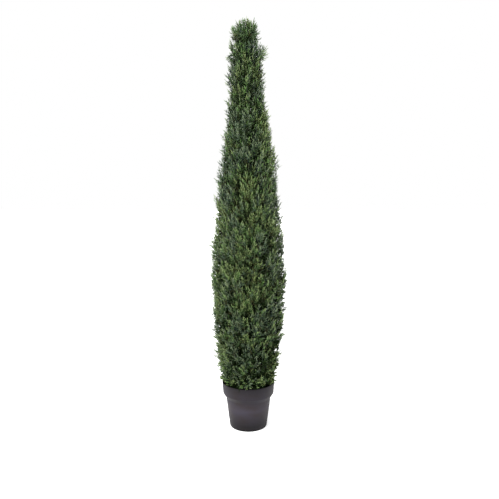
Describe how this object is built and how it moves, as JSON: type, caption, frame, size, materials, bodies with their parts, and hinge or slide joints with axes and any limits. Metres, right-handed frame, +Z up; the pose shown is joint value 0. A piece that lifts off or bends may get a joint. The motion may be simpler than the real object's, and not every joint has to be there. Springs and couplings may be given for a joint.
{
  "type": "artificial potted cypress cone topiary",
  "caption": "Tall slender cone of dense evergreen sprays on a slim central trunk, standing in a plain round nursery pot weighted with a cast fill.",
  "frame": {"origin": "centre of the pot's flat underside, on the pot's axis", "axes": "+Z up along the trunk; +Y away from the picture's camera, +X to its right"},
  "size_m": [0.399, 0.4042, 2.0899],
  "materials": {
    "foliage_dark": "matte moulded sprays, deep green",
    "foliage_mid": "matte moulded sprays, mid green",
    "foliage_light": "matte moulded sprays, fresh green",
    "trunk": "rough bark-brown",
    "pot": "satin charcoal moulded plastic",
    "fill": "rough dark cast fill"
  },
  "bodies": {
    "root": {"pot": "pot", "fill": "fill", "trunk": "trunk", "foliage_tier1_1": "foliage_dark", "foliage_tier1_2": "foliage_mid", "foliage_tier1_3": "foliage_light", "foliage_tier1_4": "foliage_dark", "foliage_tier2_1": "foliage_mid", "foliage_tier2_2": "foliage_light", "foliage_tier2_3": "foliage_dark", "foliage_tier2_4": "foliage_mid", "foliage_tier3_1": "foliage_light", "foliage_tier3_2": "foliage_dark", "foliage_tier3_3": "foliage_mid", "foliage_tier3_4": "foliage_light", "foliage_tier4_1": "foliage_dark", "foliage_tier4_2": "foliage_mid", "foliage_tier4_3": "foliage_light", "foliage_tier4_4": "foliage_dark", "foliage_tier5_1": "foliage_mid", "foliage_tier5_2": "foliage_light", "foliage_tier5_3": "foliage_dark", "foliage_tier5_4": "foliage_mid", "foliage_tier6_1": "foliage_light", "foliage_tier6_2": "foliage_dark", "foliage_tier6_3": "foliage_mid", "foliage_tier6_4": "foliage_light", "foliage_tier7_1": "foliage_dark", "foliage_tier7_2": "foliage_mid", "foliage_tier7_3": "foliage_light", "foliage_tier8_1": "foliage_mid", "foliage_tier8_2": "foliage_light", "foliage_tier8_3": "foliage_dark", "foliage_top": "foliage_light"}
  },
  "joints": []
}
